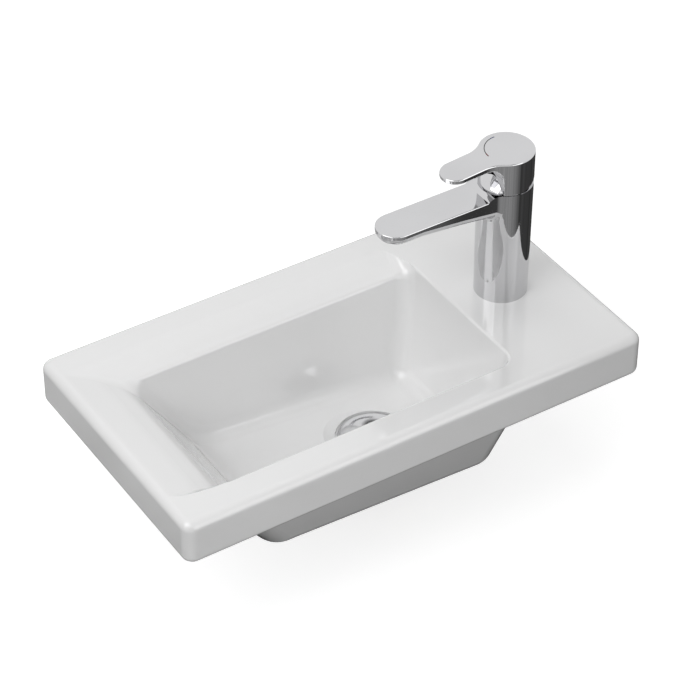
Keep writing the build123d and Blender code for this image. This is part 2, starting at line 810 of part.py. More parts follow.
# Cartridge, from the bore's floor up
seal_height = cartridge_seal_height
base_level = bore_floor + seal_height
disc_level = base_level + cartridge_base_height
moving_disc_level = disc_level + disc_thickness
carrier_level = moving_disc_level + disc_thickness
half_stroke = stem_ball_below_pivot * math.sin(math.radians(lift_range)) / 2
port_places = (*inlet_places, (0, 0))
disc_ports = ((-disc_port_back, disc_port_offset), (-disc_port_back, -disc_port_offset), (0, 0))

with BuildPart() as cartridge_seals:
    with BuildSketch(tap_level(bore_floor)):
        with Locations(*port_places):
            Circle(channel_radius + seal_ring_width)
            Circle(channel_radius, mode=Mode.SUBTRACT)
    extrude(amount=seal_height)
cartridge_seals.part.label = "cartridge_seals"
export_step(cartridge_seals.part, "parts/cartridge_seals.step")

with BuildPart() as cartridge_base:
    with BuildSketch(tap_level(base_level)):
        Circle(cartridge_radius)
        with Locations(*port_places):
            Circle(disc_port_radius, mode=Mode.SUBTRACT)
    extrude(amount=cartridge_base_height)
    for inlet, port in zip(inlet_places, disc_ports):
        with BuildSketch(tap_level(disc_level - base_slot_depth)):
            with Locations(inlet, port):
                Circle(disc_port_radius)
            make_hull()
        extrude(amount=base_slot_depth, mode=Mode.SUBTRACT)
cartridge_base.part.label = "cartridge_base"
export_step(cartridge_base.part, "parts/cartridge_base.step")

with BuildPart() as fixed_disc:
    with BuildSketch(tap_level(disc_level)):
        Circle(fixed_disc_radius)
        with Locations(*disc_ports):
            Circle(disc_port_radius, mode=Mode.SUBTRACT)
    extrude(amount=disc_thickness)
fixed_disc.part.label = "fixed_disc"
export_step(fixed_disc.part, "parts/fixed_disc.step")

with BuildPart() as moving_disc:
    with BuildSketch(tap_level(moving_disc_level)):
        with Locations((half_stroke, 0)):
            Circle(moving_disc_radius)
    extrude(amount=disc_thickness)
    with BuildSketch(tap_level(moving_disc_level)):
        with Locations((half_stroke, 0)):
            Circle(mixing_pocket_radius)
    extrude(amount=disc_thickness / 2, mode=Mode.SUBTRACT)
moving_disc.part.label = "moving_disc"
export_step(moving_disc.part, "parts/moving_disc.step")

with BuildPart() as disc_carrier:
    with BuildSketch(tap_level(carrier_level)):
        with Locations((half_stroke, 0)):
            Circle(moving_disc_radius)
        Circle(stem_ball_radius + carrier_socket_clearance, mode=Mode.SUBTRACT)
    extrude(amount=carrier_height)
disc_carrier.part.label = "disc_carrier"
export_step(disc_carrier.part, "parts/disc_carrier.step")

# Housing over the discs, and the turning rotor that carries the stem's pin
housing_top = pivot_level + housing_top_above_pivot
housing_roof = housing_top - housing_top_thickness
flange_top = housing_roof - rotor_flange_gap
with BuildPart() as cartridge_housing:
    with BuildSketch(tap_section):
        with BuildLine():
            Polyline(
                (cartridge_radius - housing_wall, disc_level),
                (cartridge_radius, disc_level),
                (cartridge_radius, housing_top),
                (rotor_neck_radius + rotor_running_fit, housing_top),
                (rotor_neck_radius + rotor_running_fit, housing_roof),
                (cartridge_radius - housing_wall, housing_roof),
                close=True,
            )
        make_face()
    revolve(axis=tap_axis)
cartridge_housing.part.label = "cartridge_housing"
export_step(cartridge_housing.part, "parts/cartridge_housing.step")

rotor_top = pivot_level + rotor_neck_rise
slot_half_width = stem_width / 2 + stem_slot_clearance
with BuildPart() as cartridge_rotor:
    with BuildSketch(tap_level(flange_top - rotor_flange_height)):
        Circle(rotor_flange_radius)
    extrude(amount=rotor_flange_height)
    with BuildSketch(tap_level(flange_top)):
        Circle(rotor_neck_radius)
    extrude(amount=rotor_top - flange_top)
    with BuildSketch(tap_level(flange_top - rotor_flange_height)):
        Rectangle(2 * flange_slot_half_length, 2 * slot_half_width)
    extrude(amount=rotor_flange_height, mode=Mode.SUBTRACT)
    with BuildSketch(tap_level(flange_top)):
        Rectangle(2 * neck_slot_half_length, 2 * slot_half_width)
    extrude(amount=rotor_top - flange_top, mode=Mode.SUBTRACT)
    with BuildSketch(Plane(origin=(tap_x, tap_y, pivot_level), z_dir=(0, 1, 0))):
        Circle(pin_radius + pin_fit)
    extrude(amount=pin_half_length, both=True, mode=Mode.SUBTRACT)
cartridge_rotor.part.label = "cartridge_rotor"
export_step(cartridge_rotor.part, "parts/cartridge_rotor.step")

with BuildPart() as stem_pin:
    with BuildSketch(Plane(origin=(tap_x, tap_y, pivot_level), z_dir=(0, 1, 0))):
        Circle(pin_radius)
    extrude(amount=pin_half_length, both=True)
stem_pin.part.label = "stem_pin"
export_step(stem_pin.part, "parts/stem_pin.step")

ball_level = pivot_level - stem_ball_below_pivot
shank_top = pivot_level - stem_shank_top_below_pivot
stem_top = pivot_level + stem_rise
with BuildPart() as cartridge_stem:
    with BuildSketch(tap_level(shank_top)):
        Rectangle(stem_width, stem_width)
    extrude(amount=stem_top - shank_top)
    with BuildSketch(tap_level(ball_level)):
        Circle(stem_shank_radius)
    extrude(amount=shank_top - ball_level)
    with Locations((tap_x, tap_y, ball_level)):
        Sphere(stem_ball_radius)
    with BuildSketch(Plane(origin=(tap_x, tap_y, pivot_level), z_dir=(0, 1, 0))):
        Circle(pin_radius + pin_running_fit)
    extrude(amount=stem_width, both=True, mode=Mode.SUBTRACT)
cartridge_stem.part.label = "cartridge_stem"
export_step(cartridge_stem.part, "parts/cartridge_stem.step")

nut_top = housing_top + cartridge_nut_height
with BuildPart() as cartridge_nut:
    with BuildSketch(tap_level(housing_top)):
        Circle(bore_radius - stud_fit)
        Circle(rotor_neck_radius + cartridge_nut_clearance, mode=Mode.SUBTRACT)
    extrude(amount=cartridge_nut_height)
    with BuildSketch(tap_level(nut_top - nut_notch_depth)):
        with PolarLocations((rotor_neck_radius + bore_radius) / 2 + nut_notch_width, 4):
            Rectangle(nut_notch_width * 2, nut_notch_width)
    extrude(amount=nut_notch_depth, mode=Mode.SUBTRACT)
cartridge_nut.part.label = "cartridge_nut"
export_step(cartridge_nut.part, "parts/cartridge_nut.step")

# Cap ring: a dome centred on the lever's pivot, seated on the column's head
dome_foot_radius = math.sqrt(cap_dome_radius**2 - pivot_drop**2)
dome_mouth_level = pivot_level + math.sqrt(cap_dome_radius**2 - cap_mouth_radius**2)
spigot_radius = bore_radius - stud_fit
with BuildPart() as cartridge_cap:
    with BuildSketch(tap_section):
        with BuildLine():
            Polyline(
                (cap_mouth_radius, dome_mouth_level),
                (cap_mouth_radius, column_top + cap_inner_height),
                (spigot_radius - cap_spigot_wall, column_top + cap_inner_height),
                (spigot_radius - cap_spigot_wall, column_top - cap_spigot_depth),
                (spigot_radius, column_top - cap_spigot_depth),
                (spigot_radius, column_top),
                (dome_foot_radius, column_top),
            )
            RadiusArc(
                (dome_foot_radius, column_top),
                (cap_mouth_radius, dome_mouth_level),
                -cap_dome_radius,
            )
        make_face()
    revolve(axis=tap_axis)
cartridge_cap.part.label = "cartridge_cap"
export_step(cartridge_cap.part, "parts/cartridge_cap.step")

# Lever handle: levels
hood_bottom = column_top + seam_gap
hood_top = hood_bottom + hood_height
roof_level = hood_top - hood_roof_thickness
throat_level = hood_bottom + hood_throat_height
fall = math.tan(math.radians(hood_slant))
tip_top = hood_top - fall * (lever_reach - hood_slant_start)
root_top = hood_top - fall * (hood_radius - hood_slant_start)
rear_rise = hood_radius * 2 * math.tan(math.radians(hood_rear_cut))
tip_centre = -lever_reach + lever_half_width

# Seen from the side: the outline that the handle is cut to
with BuildSketch(tap_section) as handle_side:
    with BuildLine():
        Polyline(
            (2 * hood_radius, hood_bottom + rear_rise),
            (2 * hood_radius, hood_top),
            (-hood_slant_start, hood_top),
            (-lever_reach - 1, tip_top - fall),
            (-lever_reach - 1, tip_top - lever_tip_thickness),
            (-window_back - window_lean, root_top - lever_root_thickness),
            (-window_back, hood_bottom),
            (0, hood_bottom),
            close=True,
        )
    make_face()
    bend = (-hood_slant_start, hood_top, 0)
    fillet(handle_side.vertices().sort_by_distance(bend)[0], hood_bend_radius)
    arch = (-window_back - window_lean, root_top - lever_root_thickness, 0)
    fillet(handle_side.vertices().sort_by_distance(arch)[0], window_arch_radius)

with BuildPart() as handle_block:
    extrude(handle_side.sketch, amount=2 * hood_radius, both=True)


def index_bar(width, start_angle, end_angle):
    """A curved bar along the index arc, from the groove's floor upwards."""
    with BuildPart() as bar:
        with BuildSketch(tap_level(roof_level)):
            with BuildLine():
                inner = CenterArc((0, 0), index_radius - width / 2, start_angle, end_angle - start_angle)
                outer = CenterArc((0, 0), index_radius + width / 2, start_angle, end_angle - start_angle)
                Line(inner @ 0, outer @ 0)
                Line(inner @ 1, outer @ 1)
            make_face()
        extrude(amount=hood_top - roof_level + 1)
        with Locations((0, 0, -index_groove_depth)):
            add(handle_block.part, mode=Mode.SUBTRACT)
    return bar.part


index_start = index_middle_angle - index_arc_angle / 2
index_end = index_middle_angle + index_arc_angle / 2
hot_bar = index_bar(index_mark_width, index_end - index_mark_angle, index_end)
cold_bar = index_bar(index_mark_width, index_start, index_start + index_mark_angle)

with BuildPart() as lever_handle:
    with BuildSketch(tap_level(hood_bottom)) as plan:
        Circle(hood_radius)
        with Locations((tip_centre / 2, 0)):
            Rectangle(-tip_centre, 2 * lever_half_width)
        with Locations((tip_centre, 0)):
            Circle(lever_half_width)
        necks = [v for v in plan.vertices() if -hood_radius < v.X < -lever_half_width]
        fillet(necks, lever_blend_radius)
    extrude(amount=hood_height)
    add(handle_block.part, mode=Mode.INTERSECT)
    top_rim = [
        edge
        for edge in lever_handle.edges()
        if all((edge @ t).Z > tip_top - 0.1 and abs((edge @ t).Y - tap_y) > 1e-3 for t in (0.1, 0.37, 0.9))
        and not all(abs((edge % t).Y) > 0.999 for t in (0.1, 0.5, 0.9))
    ]
    fillet(top_rim, lever_edge_radius)
    lever_underside = [
        edge
        for edge in lever_handle.edges()
        if all(-lever_reach - 1 < (edge @ t).X - tap_x < -hood_radius for t in (0.1, 0.5, 0.9))
        and all((edge @ t).Z < tip_top - 2 for t in (0.1, 0.5, 0.9))
    ]
    fillet(lever_underside, lever_edge_radius)

    # Hollow over the cap ring, socket for the stem, screw bore from the rear
    with BuildSketch(tap_section) as profile:
        with BuildLine():
            Polyline(
                (0, hood_bottom),
                (hood_mouth_radius, hood_bottom),
                (hood_throat_radius, throat_level),
                (hood_throat_radius, roof_level),
                (0, roof_level),
                close=True,
            )
        make_face()
        fillet(profile.vertices().sort_by_distance((hood_throat_radius, roof_level, 0))[0], hood_roof_round)
    revolve(axis=tap_axis, mode=Mode.SUBTRACT)
    socket_width = stem_width + 2 * socket_clearance
    with BuildSketch(tap_level(roof_level)):
        Rectangle(socket_width, socket_width)
    extrude(amount=stem_top - roof_level + socket_end_gap, mode=Mode.SUBTRACT)
    screw_level = hood_top - screw_height_below_top
    screw_plane = Plane(origin=(tap_x, tap_y, screw_level), z_dir=(1, 0, 0))
    with BuildSketch(screw_plane):
        Circle(screw_radius + screw_clearance)
    extrude(amount=hood_radius, mode=Mode.SUBTRACT)
    plug_start = hood_radius - plug_inset - plug_length
    with BuildSketch(screw_plane.offset(plug_start)):
        Circle(plug_radius + stud_fit)
    extrude(amount=plug_length + plug_inset + 1, mode=Mode.SUBTRACT)

    # Index groove, and the seats of its two marks
    add(index_bar(index_groove_width, index_start, index_end), mode=Mode.SUBTRACT)
    add(hot_bar, mode=Mode.SUBTRACT)
    add(cold_bar, mode=Mode.SUBTRACT)
lever_handle.part.label = "lever_handle"
export_step(lever_handle.part, "parts/lever_handle.step")

with BuildPart() as handle_screw:
    with BuildSketch(screw_plane.offset(stem_width / 2 + screw_tip_gap)):
        Circle(screw_radius)
    extrude(amount=screw_length)
    with BuildSketch(screw_plane.offset(stem_width / 2 + screw_tip_gap + screw_length - screw_socket_depth)):
        RegularPolygon(screw_socket_width / 2, 6, major_radius=False)
    extrude(amount=screw_socket_depth, mode=Mode.SUBTRACT)
handle_screw.part.label = "handle_screw"
export_step(handle_screw.part, "parts/handle_screw.step")

with BuildPart() as screw_plug:
    with BuildSketch(screw_plane.offset(plug_start)):
        Circle(plug_radius)
    extrude(amount=plug_length)
screw_plug.part.label = "screw_plug"
export_step(screw_plug.part, "parts/screw_plug.step")

with BuildPart() as hot_mark:
    add(hot_bar)
    add(handle_block.part, mode=Mode.INTERSECT)
hot_mark.part.label = "hot_mark"
export_step(hot_mark.part, "parts/hot_mark.step")

with BuildPart() as cold_mark:
    add(cold_bar)
    add(handle_block.part, mode=Mode.INTERSECT)
cold_mark.part.label = "cold_mark"
export_step(cold_mark.part, "parts/cold_mark.step")
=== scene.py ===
"""Inset basin with a side shelf, a chrome mixer tap and an open waste, dressed for rendering.

Lengths are metres. X runs left to right, Y from front to back, Z up. The origin is the middle of
the basin's back edge, at the level of the rim's underside.
"""
import json
import math

import bpy
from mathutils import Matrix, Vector

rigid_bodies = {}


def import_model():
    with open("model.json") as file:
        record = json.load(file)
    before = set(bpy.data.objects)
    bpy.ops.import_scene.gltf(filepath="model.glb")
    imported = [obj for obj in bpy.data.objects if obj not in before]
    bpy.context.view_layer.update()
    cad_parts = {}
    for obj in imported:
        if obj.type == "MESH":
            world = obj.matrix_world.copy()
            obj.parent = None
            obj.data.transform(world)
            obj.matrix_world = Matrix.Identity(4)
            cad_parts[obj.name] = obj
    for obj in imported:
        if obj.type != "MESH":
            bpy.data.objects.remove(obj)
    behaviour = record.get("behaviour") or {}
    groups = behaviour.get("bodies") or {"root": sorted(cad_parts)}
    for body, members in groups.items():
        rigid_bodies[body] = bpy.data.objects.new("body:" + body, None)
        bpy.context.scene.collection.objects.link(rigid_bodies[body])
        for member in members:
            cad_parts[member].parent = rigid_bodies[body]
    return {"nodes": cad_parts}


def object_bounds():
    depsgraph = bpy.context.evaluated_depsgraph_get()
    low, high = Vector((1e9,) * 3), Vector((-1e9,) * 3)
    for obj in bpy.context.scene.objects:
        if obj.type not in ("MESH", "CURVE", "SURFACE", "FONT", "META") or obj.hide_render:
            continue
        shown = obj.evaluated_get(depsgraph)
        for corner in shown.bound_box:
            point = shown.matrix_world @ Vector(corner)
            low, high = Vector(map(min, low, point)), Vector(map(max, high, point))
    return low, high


bl_info = {
    "name": "Inset basin",
    "version": (1, 0, 0),
    "blender": (4, 5, 0),
    "location": "3D View > Sidebar > Basin",
    "description": "Finishes a glazed basin with its mixer tap and waste, and sets up a plain studio",
    "category": "Object",
}

for leftover in list(bpy.data.objects):
    bpy.data.objects.remove(leftover)

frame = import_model()
cad_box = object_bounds()
NODES = frame["nodes"]
TAP_AXIS = (0.16, -0.1275)
WASTE_AXIS = (0.0265, -0.132)


# Shader building


def node(tree, kind, x, y, **settings):
    """Adds a shader node at a place in the tree and sets its options."""
    made = tree.nodes.new(kind)
    made.location = (x, y)
    for key, value in settings.items():
        setattr(made, key, value)
    return made


def new_group(name, inputs, outputs):
    """A shader node group with named sockets, each (name, kind, default)."""
    tree = bpy.data.node_groups.new(name, "ShaderNodeTree")
    for label, kind, default in inputs:
        socket = tree.interface.new_socket(label, in_out="INPUT", socket_type=kind)
        socket.default_value = default
    for label, kind in outputs:
        tree.interface.new_socket(label, in_out="OUTPUT", socket_type=kind)
    start = node(tree, "NodeGroupInput", -700, 0)
    end = node(tree, "NodeGroupOutput", 500, 0)
    return tree, start, end


def mottle_group():
    """Colour that drifts gently between two tones, as glaze and plating do."""
    tree, start, end = new_group(
        "Mottle",
        (
            ("Colour", "NodeSocketColor", (0.8, 0.8, 0.8, 1)),
            ("Second Colour", "NodeSocketColor", (0.7, 0.7, 0.7, 1)),
            ("Scale", "NodeSocketFloat", 12.0),
        ),
        (("Colour", "NodeSocketColor"),),
    )
    place = node(tree, "ShaderNodeTexCoord", -700, -260)
    cloud = node(tree, "ShaderNodeTexNoise", -460, -160)
    cloud.inputs["Detail"].default_value = 3
    spread = node(tree, "ShaderNodeMapRange", -220, -160)
    spread.inputs["From Min"].default_value = 0.35
    spread.inputs["From Max"].default_value = 0.65
    mix = node(tree, "ShaderNodeMix", 60, 0, data_type="RGBA")
    tree.links.new(place.outputs["Object"], cloud.inputs["Vector"])
    tree.links.new(start.outputs["Scale"], cloud.inputs["Scale"])
    tree.links.new(cloud.outputs["Fac"], spread.inputs["Value"])
    tree.links.new(spread.outputs["Result"], mix.inputs["Factor"])
    tree.links.new(start.outputs["Colour"], mix.inputs["A"])
    tree.links.new(start.outputs["Second Colour"], mix.inputs["B"])
    tree.links.new(mix.outputs["Result"], end.inputs["Colour"])
    return tree


def fine_wear_group():
    """Roughness between a wiped and a handled value, in soft patches with fine specks."""
    tree, start, end = new_group(
        "Fine wear",
        (
            ("Wiped", "NodeSocketFloat", 0.05),
            ("Handled", "NodeSocketFloat", 0.15),
            ("Scale", "NodeSocketFloat", 30.0),
        ),
        (("Roughness", "NodeSocketFloat"),),
    )
    place = node(tree, "ShaderNodeTexCoord", -700, -260)
    patches = node(tree, "ShaderNodeTexNoise", -460, -100)
    patches.inputs["Detail"].default_value = 5
    patches.inputs["Roughness"].default_value = 0.6
    spread = node(tree, "ShaderNodeMapRange", -220, -100)
    spread.inputs["From Min"].default_value = 0.3
    spread.inputs["From Max"].default_value = 0.7
    tree.links.new(place.outputs["Object"], patches.inputs["Vector"])
    tree.links.new(start.outputs["Scale"], patches.inputs["Scale"])
    tree.links.new(patches.outputs["Fac"], spread.inputs["Value"])
    tree.links.new(start.outputs["Wiped"], spread.inputs["To Min"])
    tree.links.new(start.outputs["Handled"], spread.inputs["To Max"])
    tree.links.new(spread.outputs["Result"], end.inputs["Roughness"])
    return tree


def relief_group():
    """Height of a slow ripple with a fine grain over it."""
    tree, start, end = new_group(
        "Relief",
        (
            ("Ripple Scale", "NodeSocketFloat", 20.0),
            ("Grain Scale", "NodeSocketFloat", 800.0),
            ("Grain Share", "NodeSocketFloat", 0.2),
        ),
        (("Height", "NodeSocketFloat"),),
    )
    place = node(tree, "ShaderNodeTexCoord", -700, -260)
    ripple = node(tree, "ShaderNodeTexNoise", -460, 80)
    ripple.inputs["Detail"].default_value = 1
    grain = node(tree, "ShaderNodeTexNoise", -460, -200)
    grain.inputs["Detail"].default_value = 2
    mix = node(tree, "ShaderNodeMix", -100, 0, data_type="FLOAT")
    tree.links.new(place.outputs["Object"], ripple.inputs["Vector"])
    tree.links.new(place.outputs["Object"], grain.inputs["Vector"])
    tree.links.new(start.outputs["Ripple Scale"], ripple.inputs["Scale"])
    tree.links.new(start.outputs["Grain Scale"], grain.inputs["Scale"])
    tree.links.new(start.outputs["Grain Share"], mix.inputs["Factor"])
    tree.links.new(ripple.outputs["Fac"], mix.inputs["A"])
    tree.links.new(grain.outputs["Fac"], mix.inputs["B"])
    tree.links.new(mix.outputs["Result"], end.inputs["Height"])
    return tree


def arc_group():
    """1 on the part of an upright ring round a centre that faces one way, and 0 elsewhere."""
    tree, start, end = new_group(
        "Arc",
        (
            ("Centre", "NodeSocketVector", (0, 0, 0)),
            ("Inner", "NodeSocketFloat", 0.0),
            ("Outer", "NodeSocketFloat", 0.01),
            ("Direction", "NodeSocketVector", (1, 0, 0)),
            ("Least Cosine", "NodeSocketFloat", -1.0),
            ("Lowest", "NodeSocketFloat", -1.0),
        ),
        (("Mask", "NodeSocketFloat"),),
    )
    place = node(tree, "ShaderNodeTexCoord", -1300, -260)
    offset = node(tree, "ShaderNodeVectorMath", -1100, -100, operation="SUBTRACT")
    level = node(tree, "ShaderNodeVectorMath", -900, -100, operation="MULTIPLY")
    level.inputs[1].default_value = (1, 1, 0)
    radius = node(tree, "ShaderNodeVectorMath", -500, 100, operation="LENGTH")
    way = node(tree, "ShaderNodeVectorMath", -500, -100, operation="NORMALIZE")
    facing = node(tree, "ShaderNodeVectorMath", -300, -100, operation="DOT_PRODUCT")
    height = node(tree, "ShaderNodeSeparateXYZ", -500, -300)
    tests = (
        ("GREATER_THAN", radius.outputs["Value"], "Inner"),
        ("LESS_THAN", radius.outputs["Value"], "Outer"),
        ("GREATER_THAN", facing.outputs["Value"], "Least Cosine"),
        ("GREATER_THAN", height.outputs["Z"], "Lowest"),
    )
    tree.links.new(place.outputs["Object"], offset.inputs[0])
    tree.links.new(start.outputs["Centre"], offset.inputs[1])
    tree.links.new(offset.outputs[0], level.inputs[0])
    tree.links.new(level.outputs[0], radius.inputs[0])
    tree.links.new(level.outputs[0], way.inputs[0])
    tree.links.new(way.outputs[0], facing.inputs[0])
    tree.links.new(start.outputs["Direction"], facing.inputs[1])
    tree.links.new(place.outputs["Object"], height.inputs[0])
    total = None
    for index, (operation, value, limit) in enumerate(tests):
        test = node(tree, "ShaderNodeMath", -100, 200 - 160 * index, operation=operation)
        tree.links.new(value, test.inputs[0])
        tree.links.new(start.outputs[limit], test.inputs[1])
        if total is None:
            total = test.outputs[0]
            continue
        both = node(tree, "ShaderNodeMath", 100, 200 - 160 * index, operation="MULTIPLY")
        tree.links.new(total, both.inputs[0])
        tree.links.new(test.outputs[0], both.inputs[1])
        total = both.outputs[0]
    tree.links.new(total, end.inputs["Mask"])
    return tree


def thread_group():
    """Height of a screw thread's ridges along Z, as an even wave of the stated pitch."""
    tree, start, end = new_group(
        "Thread",
        (("Pitch", "NodeSocketFloat", 0.00125),),
        (("Height", "NodeSocketFloat"),),
    )
    place = node(tree, "ShaderNodeTexCoord", -900, -100)
    parts = node(tree, "ShaderNodeSeparateXYZ", -700, -100)
    turns = node(tree, "ShaderNodeMath", -500, 0, operation="DIVIDE")
    wave = node(tree, "ShaderNodeMath", -300, 0, operation="PINGPONG")
    wave.inputs[1].default_value = 0.5
    tree.links.new(place.outputs["Object"], parts.inputs[0])
    tree.links.new(parts.outputs["Z"], turns.inputs[0])
    tree.links.new(start.outputs["Pitch"], turns.inputs[1])
    tree.links.new(turns.outputs[0], wave.inputs[0])
    tree.links.new(wave.outputs[0], end.inputs["Height"])
    return tree


GROUPS = {}


def group(name):
    """One of the shared effects, built the first time that it is asked for."""
    makers = {
        "Mottle": mottle_group,
        "Fine wear": fine_wear_group,
        "Relief": relief_group,
        "Arc": arc_group,
        "Thread": thread_group,
    }
    if name not in GROUPS:
        GROUPS[name] = makers[name]()
    return GROUPS[name]


def finish_material(name, colour, second, wiped, handled, ripple, grain, relief, metallic=0.0, scale=12.0):
    """A material from the shared effects: two tones, a roughness range and a low relief in metres."""
    material = bpy.data.materials.new(name)
    material.use_nodes = True
    tree = material.node_tree
    shader = tree.nodes["Principled BSDF"]
    shader.inputs["Metallic"].default_value = metallic
    tones = node(tree, "ShaderNodeGroup", -520, 260, node_tree=group("Mottle"))
    tones.inputs["Colour"].default_value = (*colour, 1)
    tones.inputs["Second Colour"].default_value = (*second, 1)
    tones.inputs["Scale"].default_value = scale
    wear = node(tree, "ShaderNodeGroup", -520, 40, node_tree=group("Fine wear"))
    wear.inputs["Wiped"].default_value = wiped
    wear.inputs["Handled"].default_value = handled
    wear.inputs["Scale"].default_value = scale * 3
    surface = node(tree, "ShaderNodeGroup", -520, -180, node_tree=group("Relief"))
    surface.inputs["Ripple Scale"].default_value = ripple
    surface.inputs["Grain Scale"].default_value = grain
    bump = node(tree, "ShaderNodeBump", -240, -180)
    bump.inputs["Strength"].default_value = 1.0
    bump.inputs["Distance"].default_value = relief
    tree.links.new(tones.outputs["Colour"], shader.inputs["Base Color"])
    tree.links.new(wear.outputs["Roughness"], shader.inputs["Roughness"])
    tree.links.new(surface.outputs["Height"], bump.inputs["Height"])
    tree.links.new(bump.outputs["Normal"], shader.inputs["Normal"])
    return material


def arc_mask(tree, centre, inner, outer, direction=(0, 0, 0), least_cosine=-1.0, lowest=-1.0):
    """The Arc group with its settings, placed in a material."""
    arc = node(tree, "ShaderNodeGroup", -780, 500, node_tree=group("Arc"))
    arc.inputs["Centre"].default_value = centre
    arc.inputs["Inner"].default_value = inner
    arc.inputs["Outer"].default_value = outer
    arc.inputs["Direction"].default_value = direction
    arc.inputs["Least Cosine"].default_value = least_cosine
    arc.inputs["Lowest"].default_value = lowest
    return arc.outputs["Mask"]


def overlay_painted_shade(material, mask, colour, roughness, metallic):
    """A second plain colour, roughness and metalness where the mask is 1, over the material's own colour and
    roughness. Both of its uses paint shade into hollows.
    """
    tree = material.node_tree
    shader = tree.nodes["Principled BSDF"]
    own = shader.inputs["Base Color"].links[0].from_socket
    tone = node(tree, "ShaderNodeMix", -240, 360, data_type="RGBA")
    tone.inputs["B"].default_value = (*colour, 1)
    tree.links.new(mask, tone.inputs["Factor"])
    tree.links.new(own, tone.inputs["A"])
    tree.links.new(tone.outputs["Result"], shader.inputs["Base Color"])
    for label, value in (("Roughness", roughness), ("Metallic", metallic)):
        blend = node(tree, "ShaderNodeMix", -240, 160 if label == "Roughness" else 0, data_type="FLOAT")
        blend.inputs["A"].default_value = shader.inputs[label].default_value
        if shader.inputs[label].links:
            tree.links.new(shader.inputs[label].links[0].from_socket, blend.inputs["A"])
        blend.inputs["B"].default_value = value
        tree.links.new(mask, blend.inputs["Factor"])
        tree.links.new(blend.outputs["Result"], shader.inputs[label])


def add_thread(material, mask, pitch, depth):
    """Thread ridges where the mask is 1, over the material's own relief."""
    tree = material.node_tree
    shader = tree.nodes["Principled BSDF"]
    thread = node(tree, "ShaderNodeGroup", -520, -420, node_tree=group("Thread"))
    thread.inputs["Pitch"].default_value = pitch
    ridges = node(tree, "ShaderNodeBump", -60, -260)
    ridges.inputs["Distance"].default_value = depth
    tree.links.new(mask, ridges.inputs["Strength"])
    tree.links.new(thread.outputs["Height"], ridges.inputs["Height"])
    tree.links.new(shader.inputs["Normal"].links[0].from_socket, ridges.inputs["Normal"])
    tree.links.new(ridges.outputs["Normal"], shader.inputs["Normal"])


# Finishes


def glaze(settings):
    """White vitreous glaze: a bright body under a clear, hard, glossy coat."""
    base = tuple(settings.glaze_colour)
    second = tuple(0.985 * v for v in base)
    material = finish_material("glaze", base, second, 0.09, 0.14, 14.0, 260.0, 0.00006, scale=9.0)
    shader = material.node_tree.nodes["Principled BSDF"]
    shader.inputs["IOR"].default_value = 1.5
    shader.inputs["Coat Weight"].default_value = settings.glaze_coat
    shader.inputs["Coat Roughness"].default_value = 0.05
    return material


def chrome(settings, dulling=1.0):
    """Polished chrome plate, a little greyer in soft patches."""
    base = tuple(settings.chrome_colour)
    second = tuple(0.96 * v for v in base)
    rough = settings.chrome_roughness * dulling
    return finish_material("chrome", base, second, rough, rough * 1.8, 40.0, 900.0, 0.000012, 1.0, 20.0)


def waste_chrome(settings):
    """The satin chrome of the waste, with a thread on its tail. Its central opening is painted shade: near-black
    and dull, standing in for the shade that falls inside it.
    """
    material = chrome(settings, 2.5)
    tree = material.node_tree
    # Painted shade: the opening inside the flange is coloured near-black and dull in place of the shade that falls
    # there
    throat_painted_shade = arc_mask(tree, (*WASTE_AXIS, 0), 0, 0.0178)
    overlay_painted_shade(material, throat_painted_shade, (0.035, 0.035, 0.035), 0.45, 0.2)
    tail = arc_mask(tree, (*WASTE_AXIS, 0), 0.0208, 0.0211)
    add_thread(material, tail, 0.0021, 0.0009)
    return material


def handle_chrome(settings):
    """The chrome of the handle, with painted shade in the arc of its index cut: a dark, dull band standing in for
    the shade in that hollow.
    """
    material = chrome(settings)
    middle = math.radians(135)
    towards = (math.cos(middle), math.sin(middle), 0)
    # Painted shade: the index cut's arc is coloured dark and dull in place of the shade that falls into it
    groove_painted_shade = arc_mask(material.node_tree, (*TAP_AXIS, 0), 0.0184, 0.0192, towards, math.cos(math.radians(47)), 0.18)
    overlay_painted_shade(material, groove_painted_shade, (0.10, 0.10, 0.10), 0.4, 0.0)
    return material


def stud_steel(settings):
    """The zinc-plated steel of the stud, with its thread."""
    material = plain_finish("steel")
    shank = arc_mask(material.node_tree, (TAP_AXIS[0] + 0.0115, TAP_AXIS[1], 0), 0.0039, 0.0041)
    add_thread(material, shank, 0.00125, 0.0006)
    return material


def plain_finish(name):
    """One of the finishes of the hidden and small pieces."""
    table = {
        "rubber": ((0.045, 0.045, 0.047), (0.06, 0.06, 0.06), 0.55, 0.75, 60, 1500, 0.00006, 0.0, 40),
        "washer_plastic": ((0.70, 0.70, 0.67), (0.66, 0.66, 0.63), 0.35, 0.5, 60, 1200, 0.00003, 0.0, 40),
        "brass": ((0.68, 0.50, 0.23), (0.60, 0.43, 0.19), 0.18, 0.34, 50, 1200, 0.00003, 1.0, 60),
        "steel": ((0.56, 0.56, 0.57), (0.48, 0.48, 0.50), 0.22, 0.38, 50, 1200, 0.00003, 1.0, 60),
        "insert_plastic": ((0.78, 0.78, 0.76), (0.74, 0.74, 0.71), 0.3, 0.45, 60, 1400, 0.00002, 0.0, 60),
        "disc_ceramic": ((0.86, 0.84, 0.79), (0.82, 0.80, 0.75), 0.12, 0.24, 60, 1600, 0.00001, 0.0, 60),
        "rotor_plastic": ((0.12, 0.12, 0.13), (0.16, 0.16, 0.17), 0.3, 0.45, 60, 1400, 0.00002, 0.0, 60),
        "hot_enamel": ((0.12, 0.02, 0.02), (0.15, 0.03, 0.025), 0.15, 0.3, 80, 2000, 0.00001, 0.0, 200),
        "cold_enamel": ((0.02, 0.035, 0.11), (0.03, 0.05, 0.14), 0.15, 0.3, 80, 2000, 0.00001, 0.0, 200),
    }
    colour, second, wiped, handled, ripple, grain, relief, metallic, scale = table[name]
    return finish_material(name, colour, second, wiped, handled, ripple, grain, relief, metallic, scale)


